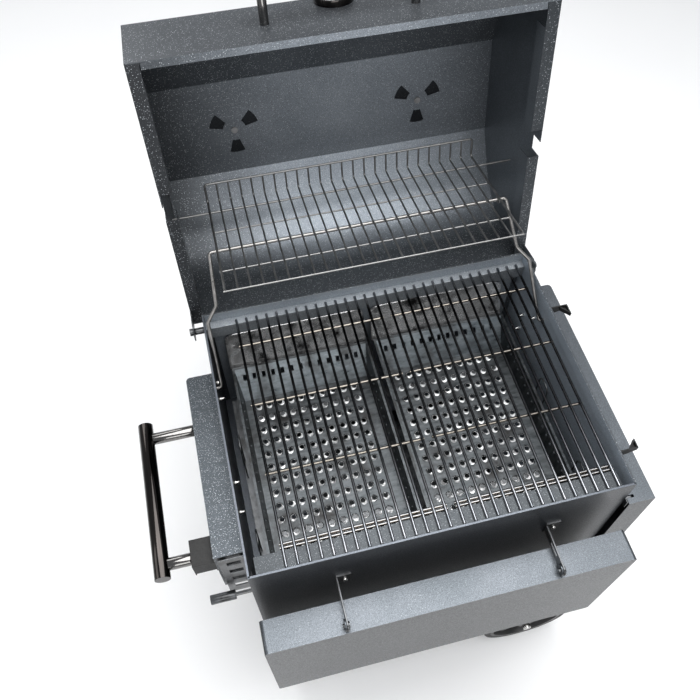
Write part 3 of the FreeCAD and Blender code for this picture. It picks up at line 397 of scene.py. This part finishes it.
# The baffle sheets' dark patches are painted shade for the shadows in their folds.
SHIELD = metal("shield_sheet", (0.66, 0.66, 0.66), (0.95, 0.95, 0.95), 0.14, 0.3, scale=24.0,
               bump=0.2, stains_and_shade=((0.03, 0.03, 0.031), 26.0), metallic=0.8)
ZINC = metal("dark_zinc", (0.075, 0.078, 0.082), (0.14, 0.145, 0.15), 0.26, 0.42, scale=70.0,
             stains_and_shade=((0.05, 0.05, 0.05), 30.0))
BRIGHT = metal("bright_steel", (0.42, 0.41, 0.39), (0.66, 0.65, 0.63), 0.14, 0.28, scale=90.0)
RIVET = metal("rivet_steel", (0.20, 0.20, 0.20), (0.34, 0.34, 0.34), 0.35, 0.5, metallic=0.5)
STAINLESS = metal("polished_stainless", (0.030, 0.028, 0.027), (0.055, 0.049, 0.046), 0.05, 0.12,
                  streak=(1, 0.06, 1), scale=240.0, bump=0.03)
SATIN = metal("satin_stainless", (0.13, 0.125, 0.12), (0.21, 0.205, 0.20), 0.08, 0.16,
              streak=(8, 1, 1), scale=120.0, bump=0.03)
BAIL_STEEL = metal("bail_steel", (0.21, 0.205, 0.195), (0.31, 0.30, 0.29), 0.26, 0.4, scale=60.0,
                   bump=0.0)
RACK_CHROME = metal("rack_chrome", (0.20, 0.20, 0.198), (0.28, 0.28, 0.276), 0.36, 0.5, scale=60.0,
                    bump=0.0)
# The grate wires' near-black tone stands in for their dark reflections, and their ends are painted
# lighter as painted highlights.
GRATE_CHROME = metal("grate_chrome", (0.008, 0.009, 0.010), (0.020, 0.020, 0.021), 0.16, 0.28,
                     streak=(1, 0.3, 1), scale=90.0, bump=0.02, painted_end_highlight=17.0,
                     cross=(0.22, 0.20, 0.175))
VENT_PAINT = hammered("vent_disc_paint", (0.016, 0.018, 0.021), (0.024, 0.027, 0.031),
                      grey(0.12), amount=0.2)
DIAL = plastic("dial_white", (0.80, 0.80, 0.77), (0.86, 0.86, 0.84), 0.3, 0.4, bump=0.03)
NEEDLE = plastic("needle_red", (0.45, 0.03, 0.02), (0.52, 0.04, 0.03), 0.25, 0.35, bump=0.03)
CAP = plastic("black_plastic", grey(0.018), grey(0.028), 0.45, 0.6)
WHEEL = plastic("wheel_plastic", grey(0.022), grey(0.034), 0.35, 0.5)
TYRE = plastic("tyre_rubber", grey(0.014), grey(0.024), 0.6, 0.8, scale=500.0, bump=0.4)

SLOT_MATERIALS = {
    "dark_hammered_paint": PAINT,
    "black_frame_paint": FRAME_BLACK,
    "black_bracket_paint": BRACKET_BLACK,
    "galvanised_sheet": GALVANISED,
    "dark_zinc_steel": ZINC,
    "bright_steel": BRIGHT,
    "polished_stainless": STAINLESS,
    "satin_stainless": SATIN,
    "vent_disc_paint": VENT_PAINT,
    "chromed_wire": RACK_CHROME,
    "grate_chrome": GRATE_CHROME,
    "dial_white": DIAL,
    "needle_red": NEEDLE,
    "black_plastic": CAP,
    "wheel_plastic": WHEEL,
    "tyre_rubber": TYRE,
}
# Parts that take a material other than their slot's. The hammered paints among them are lighter and
# darker copies of one paint, painted light and shade.
NODE_MATERIALS = {
    "left_panel": PAINT_PANEL,
    "lid_shell": PAINT_LID,
    "lid_side_left": PAINT_DARK,
    "lid_side_right": PAINT_RIGHT_END,
    "firebox_right_wall": PAINT_RIGHT_WALL,
    "side_table": PAINT_TABLE,
    "front_table": PAINT_TABLE,
    "firebox_front_wall": PAINT_FRONT,
    "firebox_left_wall": PAINT_FRONT,
    "firebox_floor": PAINT_FRONT,
    "vent_rivets": RIVET,
    "firebox_rear_wall": PAINT_REAR_WALL,
    "rear_ledge": PAINT_REAR,
    "handle_bracket": BRACKET_BLACK,
    "front_ledge": PAINT_LEDGE,
    "rack_bail": BAIL_STEEL,
}

slot_of = {s["node"]: s["material_slot"] for s in frame["record"]["subparts"]}
for name, obj in nodes.items():
    obj.data.materials.clear()
    obj.data.materials.append(NODE_MATERIALS.get(name, SLOT_MATERIALS[slot_of[name]]))


# ------------------------------------------------------------------ finish of the carried-over solids

# Edge radii in millimetres; corners flatter than SHARP_CORNER stay as they are.
SHEET_EDGE_R = 0.4
TURNED_EDGE_R = 0.8
SHARP_CORNER = math.radians(32)
WELD_DISTANCE = 0.00001


def soften(name, radius):
    """Welds a carried-over solid's split corners and gives its sharp edges a small radius."""
    obj = nodes[name]
    weld = obj.modifiers.new("weld", "WELD")
    weld.merge_threshold = WELD_DISTANCE
    bevel = obj.modifiers.new("edge", "BEVEL")
    bevel.width = radius * MM
    bevel.segments = 2
    bevel.limit_method = "ANGLE"
    bevel.angle_limit = SHARP_CORNER


SHEET_NODES = ("firebox_front_wall", "firebox_rear_wall", "firebox_left_wall", "firebox_right_wall",
               "front_ledge", "rear_ledge", "lid_side_left", "lid_side_right", "left_panel",
               "front_table", "side_table", "rim_brackets", "handle_bracket", "lift_rack",
               "front_table_arm_left", "front_table_arm_right", "bottom_shelf", "rail_front",
               "rail_rear", "ash_drawer")
ROUND_NODES = ("push_handle_bar", "push_handle_posts", "lid_handle_bar", "lid_handle_posts",
               "hinge_bolts", "wall_screws", "axle_nuts", "vent_rivets", "thermometer_bezel",
               "front_table_pins", "lift_lever", "wheel_front", "wheel_rear")
for name in SHEET_NODES:
    soften(name, SHEET_EDGE_R)
for name in ROUND_NODES:
    soften(name, TURNED_EDGE_R)


# ------------------------------------------------------------------ new pieces

def piece(name, mesh_bm, body, material, smooth=True):
    """Makes an object from a bmesh in the shared frame and rides it on a body."""
    mesh = bpy.data.meshes.new(name)
    bmesh.ops.recalc_face_normals(mesh_bm, faces=mesh_bm.faces)
    mesh_bm.to_mesh(mesh)
    mesh_bm.free()
    for poly in mesh.polygons:
        poly.use_smooth = smooth
    obj = bpy.data.objects.new(name, mesh)
    scene.collection.objects.link(obj)
    mesh.materials.append(material)
    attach(obj, body)
    return obj


def join_rings(bm, rings):
    """Faces between each closed ring of points and the next."""
    for one, two in zip(rings, rings[1:]):
        for k in range(len(one)):
            nxt = (k + 1) % len(one)
            bm.faces.new((one[k], one[nxt], two[nxt], two[k]))


def prism(bm, low_outline, high_outline):
    """A closed block between two outlines with the same number of corners."""
    low = [bm.verts.new(point) for point in low_outline]
    high = [bm.verts.new(point) for point in high_outline]
    bm.faces.new(low[::-1])
    bm.faces.new(high)
    join_rings(bm, (low, high))


# The pans and their even pattern of holes, as in the CAD model, in millimetres.
PANS_X = {"left": 33.0, "right": 309.0}
PANS_Y = 34.0
PAN_FLOOR_TOP = -188.5
HOLE_INSET = (32.0, 36.0)
HOLE_PITCH = (20.75, 25.5)
HOLE_COUNT = (10, 13)
HOLE_R = 4.7

# The rings of a torn rim: how far each spreads past the hole as a share of its radius, its height
# as a share of the rim's, and whether the tear runs along it.
BURR_RINGS = ((0.85, 0.0, False), (0.5, 0.5, True), (0.1, 1.0, True), (-0.06, 0.6, False),
              (0.0, 0.0, False))
BURR_SEGMENTS = 14
BURR_HEIGHT = (1.8, 4.2)
BURR_TEAR = (0.2, 1.4)
BURR_WOBBLE = (0.98, 1.02)
BURR_LOW_SIDE = 0.04
BURR_SIDE_POWER = 1.6
BURR_ABOVE_FLOOR = 0.1
BURR_SWING = 1.1
TOWARD_FRONT = -math.pi / 2


def burr(bm, centre, height, lean):
    """The torn rim that a punch leaves at a hole: a ragged collar that stands up on one side."""
    rings = []
    turn = rng.uniform(0, math.tau)
    for spread, level, torn in BURR_RINGS:
        ring = []
        for k in range(BURR_SEGMENTS):
            a = turn + math.tau * k / BURR_SEGMENTS
            ragged = rng.uniform(*BURR_TEAR) if torn else 1.0
            high_side = max(0.0, math.cos(a - lean)) ** BURR_SIDE_POWER
            side = BURR_LOW_SIDE + (1 - BURR_LOW_SIDE) * high_side
            z = height * level * ragged * side + BURR_ABOVE_FLOOR
            r = HOLE_R * (1.0 + spread * side) * rng.uniform(*BURR_WOBBLE)
            ring.append(bm.verts.new(centre + Vector((r * math.cos(a), r * math.sin(a), z)) * MM))
        rings.append(ring)
    join_rings(bm, rings + rings[:1])


def pan_holes(x0):
    """Centres of the holes in a pan's floor, in rows and columns."""
    for row in range(HOLE_COUNT[1]):
        for column in range(HOLE_COUNT[0]):
            yield (x0 + HOLE_INSET[0] + column * HOLE_PITCH[0],
                   PANS_Y + HOLE_INSET[1] + row * HOLE_PITCH[1])


for side_name, pan_x in PANS_X.items():
    rims = bmesh.new()
    for hole_x, hole_y in pan_holes(pan_x):
        lean_angle = rng.uniform(-BURR_SWING, BURR_SWING) + TOWARD_FRONT
        burr(rims, at(hole_x, hole_y, PAN_FLOOR_TOP), rng.uniform(*BURR_HEIGHT), lean_angle)
    piece("pan_burrs_" + side_name, rims, "carrier", BURR, smooth=False)
    first_hole = at(pan_x + HOLE_INSET[0], PANS_Y + HOLE_INSET[1], PAN_FLOOR_TOP)
    # Each pan's floor takes painted shade round its holes and a painted lighter rear slope.
    nodes["coal_pan_" + side_name].data.materials[0] = painted_shade_pan(
        "painted_shade_pan_" + side_name, first_hole, [step * MM for step in HOLE_PITCH], HOLE_COUNT)


# The baffle sheets behind the pans lean back from their lower edge, in millimetres.
SHIELD_FOOT_Y, SHIELD_FOOT_Z = 443.4, -148.0
SHIELD_LEAN = 25.0
SHIELD_HEIGHT = 80.0
SHIELD_CORNER = 22.0
SHIELD_CORNER_SHARE = 0.8
SHIELD_COLUMNS, SHIELD_ROWS = 120, 26
SHIELD_THICKNESS = 0.8

# The sheet's folds as (how fine, how deep), its creases, and how a dent moves the sheet forward
# and up. DENT_SCALE turns a place on the sheet into a place in the noise.
FOLDS = ((1.3, 5.0), (3.1, 2.6))
CREASE_FINENESS, CREASE_DEPTH = 2.2, 4.5
CREASE_PLACE = Vector((4, 1, 0))
DENT_SCALE = (0.02, 1.9)
DENT_SHARE = 0.9
DENT_FORWARD, DENT_UP = 0.45, 0.3


def dent(x, v, seed):
    """How far the crumpled sheet is pushed forward at x along it and v up it, 0 or less."""
    p = Vector((x * DENT_SCALE[0], v * DENT_SCALE[1], seed))
    fold = sum(noise.noise(p * fineness) * depth for fineness, depth in FOLDS)
    crease = abs(noise.noise(p * CREASE_FINENESS + CREASE_PLACE)) * CREASE_DEPTH
    fade = min(1.0, 3 * v, 2.5 * (1 - v) + 0.15)
    return min(0.0, (fold - crease) * fade) * DENT_SHARE


def crumpled_shield(name, x0, x1, seed):
    """Thin bright baffle sheet behind a pan, dented and wavy, with rounded top corners."""
    bm = bmesh.new()
    width = x1 - x0
    grid = []
    for i in range(SHIELD_COLUMNS + 1):
        line = []
        u = i / SHIELD_COLUMNS
        x = x0 + width * u
        into_corner = max(0.0, SHIELD_CORNER - min(u, 1 - u) * width)
        drop = SHIELD_CORNER - math.sqrt(SHIELD_CORNER ** 2 - into_corner ** 2)
        height = SHIELD_HEIGHT - drop * SHIELD_CORNER_SHARE
        for j in range(SHIELD_ROWS + 1):
            v = j / SHIELD_ROWS
            push = dent(x, v, seed)
            y = SHIELD_FOOT_Y + SHIELD_LEAN * v + push * DENT_FORWARD
            z = SHIELD_FOOT_Z + height * v + abs(push) * DENT_UP
            line.append(bm.verts.new(at(x, y, z)))
        grid.append(line)
    for i in range(SHIELD_COLUMNS):
        for j in range(SHIELD_ROWS):
            bm.faces.new((grid[i][j], grid[i + 1][j], grid[i + 1][j + 1], grid[i][j + 1]))
    obj = piece(name, bm, "trolley", SHIELD)
    solid = obj.modifiers.new("sheet", "SOLIDIFY")
    solid.thickness = SHIELD_THICKNESS * MM
    return obj


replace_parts(crumpled_shield("shield_skin_left", 28, 292, 1.7), "rear_shield_left")
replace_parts(crumpled_shield("shield_skin_right", 304, 568, 7.3), "rear_shield_right")


# Where the screws' ends are in the CAD model, in millimetres.
LEFT_TIP_X, LEFT_TIP_Z = 8.2, -80.0
LEFT_TIPS_Y = (133.0, 185.0, 346.0, 380.0)
RIGHT_TIP_X, RIGHT_HEAD_X = 591.2, 601.9
RIGHT_SCREWS_YZ = ((375.0, -76.0), (413.0, -118.0), (413.0, -162.0))
ARM_HEAD_Y, ARM_HEAD_Z = -4.9, -103.0
ARM_HEADS_X = (141.0, 487.0)
TIP_R, HEAD_R = 2.6, 3.9
LEFT_TIP_RISE, RIGHT_TIP_RISE = 2.6, 2.4
WALL_HEAD_RISE, ARM_HEAD_RISE = 1.4, 1.8
DOME_LEVELS = [math.radians(angle) for angle in range(0, 100, 20)]
DOME_SEGMENTS = 16


def dome(bm, centre, axis, radius, height):
    """A low dome standing on a point along an axis."""
    turn = Vector((0, 0, 1)).rotation_difference(Vector(axis)).to_matrix()
    rings = []
    for level in DOME_LEVELS:
        r, h = radius * math.cos(level), height * math.sin(level)
        ring = []
        for k in range(DOME_SEGMENTS):
            a = math.tau * k / DOME_SEGMENTS
            point = Vector((r * math.cos(a), r * math.sin(a), h))
            ring.append(bm.verts.new(centre + turn @ point * MM))
        rings.append(ring)
    join_rings(bm, rings)
    bm.faces.new(rings[-1])
    bm.faces.new(rings[0][::-1])


def screw_domes():
    """Rounded tips on the walls' screws and domed heads on the right wall's and the arms' screws."""
    bm = bmesh.new()
    for y in LEFT_TIPS_Y:
        dome(bm, at(LEFT_TIP_X, y, LEFT_TIP_Z), (1, 0, 0), TIP_R, LEFT_TIP_RISE)
    for y, z in RIGHT_SCREWS_YZ:
        dome(bm, at(RIGHT_TIP_X, y, z), (-1, 0, 0), TIP_R, RIGHT_TIP_RISE)
        dome(bm, at(RIGHT_HEAD_X, y, z), (1, 0, 0), HEAD_R, WALL_HEAD_RISE)
    for x in ARM_HEADS_X:
        dome(bm, at(x, ARM_HEAD_Y, ARM_HEAD_Z), (0, -1, 0), HEAD_R, ARM_HEAD_RISE)
    piece("screw_domes", bm, "trolley", BRIGHT)


screw_domes()


# The gusset brackets' plates and hooks along y, and the webs' reach in x and z, in millimetres.
GUSSETS_Y = ((59.0, 75.0), (345.0, 325.0))
WEB_INNER_X, WEB_OUTER_X = 618.0, 631.5
WEB_LOW_Z, WEB_HIGH_Z = -13.6, -11.6


def bracket_floors():
    """Small webs that close the folded hooks of the two gusset brackets from below."""
    bm = bmesh.new()
    for plate_y, hook_y in GUSSETS_Y:
        corners = ((WEB_OUTER_X, plate_y), (WEB_OUTER_X, hook_y), (WEB_INNER_X, plate_y))
        prism(bm, [at(x, y, WEB_LOW_Z) for x, y in corners],
              [at(x, y, WEB_HIGH_Z) for x, y in corners])
    piece("bracket_floors", bm, "trolley", BRACKET_BLACK, smooth=False)


bracket_floors()


# ------------------------------------------------------------------ lid thermometer

# The lid's hinge line and its opening angle at rest.
HINGE_Y, HINGE_Z = 467.0, -37.0
LID_OPENING = math.radians(-101.7)

# The dial on the closed lid, in millimetres; its angles are in degrees.
DIAL_X, DIAL_Y, DIAL_Z = 300.0, -11.5, 118.0
FIRST_TICK, TICK_STEP, TICK_COUNT = 225, 15, 19
TICK_OUTER_R = 24.5
LONG_TICK_INNER_R, LONG_TICK_HALF = 19.5, 0.55
SHORT_TICK_INNER_R, SHORT_TICK_HALF = 21.5, 0.3
TICK_RISE = 0.3


def lid_point(x, y, z):
    """A point of the closed lid, given in millimetres, where it rests with the lid open."""
    y, z = y - HINGE_Y, z - HINGE_Z
    return at(x, HINGE_Y + y * math.cos(LID_OPENING) - z * math.sin(LID_OPENING),
              HINGE_Z + y * math.sin(LID_OPENING) + z * math.cos(LID_OPENING))


def dial_ticks():
    """Raised scale marks round the thermometer's dial, longer at every third mark."""
    bm = bmesh.new()
    for k in range(TICK_COUNT):
        a = math.radians(FIRST_TICK - TICK_STEP * k)
        inner, half = SHORT_TICK_INNER_R, SHORT_TICK_HALF
        if k % 3 == 0:
            inner, half = LONG_TICK_INNER_R, LONG_TICK_HALF
        corners = []
        for r, across in ((inner, -half), (TICK_OUTER_R, -half), (TICK_OUTER_R, half), (inner, half)):
            corners.append((DIAL_X + r * math.cos(a) - across * math.sin(a),
                            DIAL_Z + r * math.sin(a) + across * math.cos(a)))
        prism(bm, [lid_point(x, DIAL_Y, z) for x, z in corners],
              [lid_point(x, DIAL_Y - TICK_RISE, z) for x, z in corners])
    piece("dial_ticks", bm, "lid", CAP, smooth=False)


dial_ticks()


# ------------------------------------------------------------------ camera, light and floor

# The camera's place is in millimetres from the rim's front left corner.
CAMERA_PLACE = (63.65, -332.73, 1074.17)
CAMERA_FORWARD = (0.1334, 0.5263, -0.8398)
CAMERA_RIGHT = (0.9705, -0.2412, 0.0029)
CAMERA_LENS = 38.84
CAMERA_SENSOR = 36.0

# Place and target in metres, width and height in metres, power in watts.
LIGHTS = {
    "top": ((0.35, -0.15, 3.4), (0.4, -0.1, 0.8), (2.6, 2.4), 118),
    "front": ((-0.2, -3.0, 1.9), (0, 0.2, 0.9), (2.2, 1.4), 34),
    "left": ((-2.9, -0.4, 2.3), (0, 0, 0.7), (1.2, 1.6), 14),
    "back": ((-1.2, 2.8, 2.6), (0, 0, 0.8), (1.6, 1.2), 22),
}
WORLD_COLOUR = (0.93, 0.96, 1.0, 1)
WORLD_STRENGTH = 0.42
FLOOR_SIZE = 7.0
FLOOR_ROUGHNESS = 0.9


def make_camera():
    """Camera standing in front of the grill, high, looking down at the grates."""
    data = bpy.data.cameras.new("camera")
    data.lens = CAMERA_LENS
    data.sensor_width = CAMERA_SENSOR
    data.clip_start = 0.01
    data.clip_end = 100
    cam = bpy.data.objects.new("camera", data)
    scene.collection.objects.link(cam)
    forward = Vector(CAMERA_FORWARD).normalized()
    up = Vector(CAMERA_RIGHT).normalized().cross(forward).normalized()
    right = forward.cross(up).normalized()
    rotation = Matrix((right, up, -forward)).transposed().to_4x4()
    cam.matrix_world = Matrix.Translation(at(*CAMERA_PLACE)) @ rotation
    scene.camera = cam


def area_light(name, place, target, size, power):
    """A white rectangular light that shines from a place to a target."""
    data = bpy.data.lights.new(name, "AREA")
    data.shape = "RECTANGLE"
    data.size, data.size_y = size
    data.energy = power
    obj = bpy.data.objects.new(name, data)
    scene.collection.objects.link(obj)
    obj.location = place
    obj.rotation_mode = "QUATERNION"
    obj.rotation_quaternion = (Vector(target) - Vector(place)).to_track_quat("-Z", "Y")


def make_floor():
    """A wide pale floor that the trolley stands on."""
    bm = bmesh.new()
    bmesh.ops.create_grid(bm, x_segments=8, y_segments=8, size=FLOOR_SIZE)
    mesh = bpy.data.meshes.new("floor")
    bm.to_mesh(mesh)
    bm.free()
    obj = bpy.data.objects.new("floor", mesh)
    scene.collection.objects.link(obj)
    mat, tree, bsdf = new_material("floor_paper")
    pos = coords(tree)
    drift = node(tree, "ShaderNodeTexNoise", Scale=1.5, Detail=2.0)
    link(tree, pos, "Vector", drift, "Vector")
    tone = ramp(tree, [(0.3, grey(0.93)), (0.7, grey(0.95))])
    link(tree, drift, "Fac", tone, "Fac")
    link(tree, tone, "Color", bsdf, "Base Color")
    bsdf.inputs["Roughness"].default_value = FLOOR_ROUGHNESS
    mesh.materials.append(mat)


def make_world():
    """An even, slightly cool light from all round."""
    world = bpy.data.worlds.new("studio")
    scene.world = world
    world.use_nodes = True
    background = world.node_tree.nodes["Background"]
    background.inputs["Color"].default_value = WORLD_COLOUR
    background.inputs["Strength"].default_value = WORLD_STRENGTH
    scene.view_settings.view_transform = "Standard"
    scene.view_settings.look = "None"


make_camera()
make_floor()
for light_name, settings in LIGHTS.items():
    area_light(light_name, *settings)
make_world()
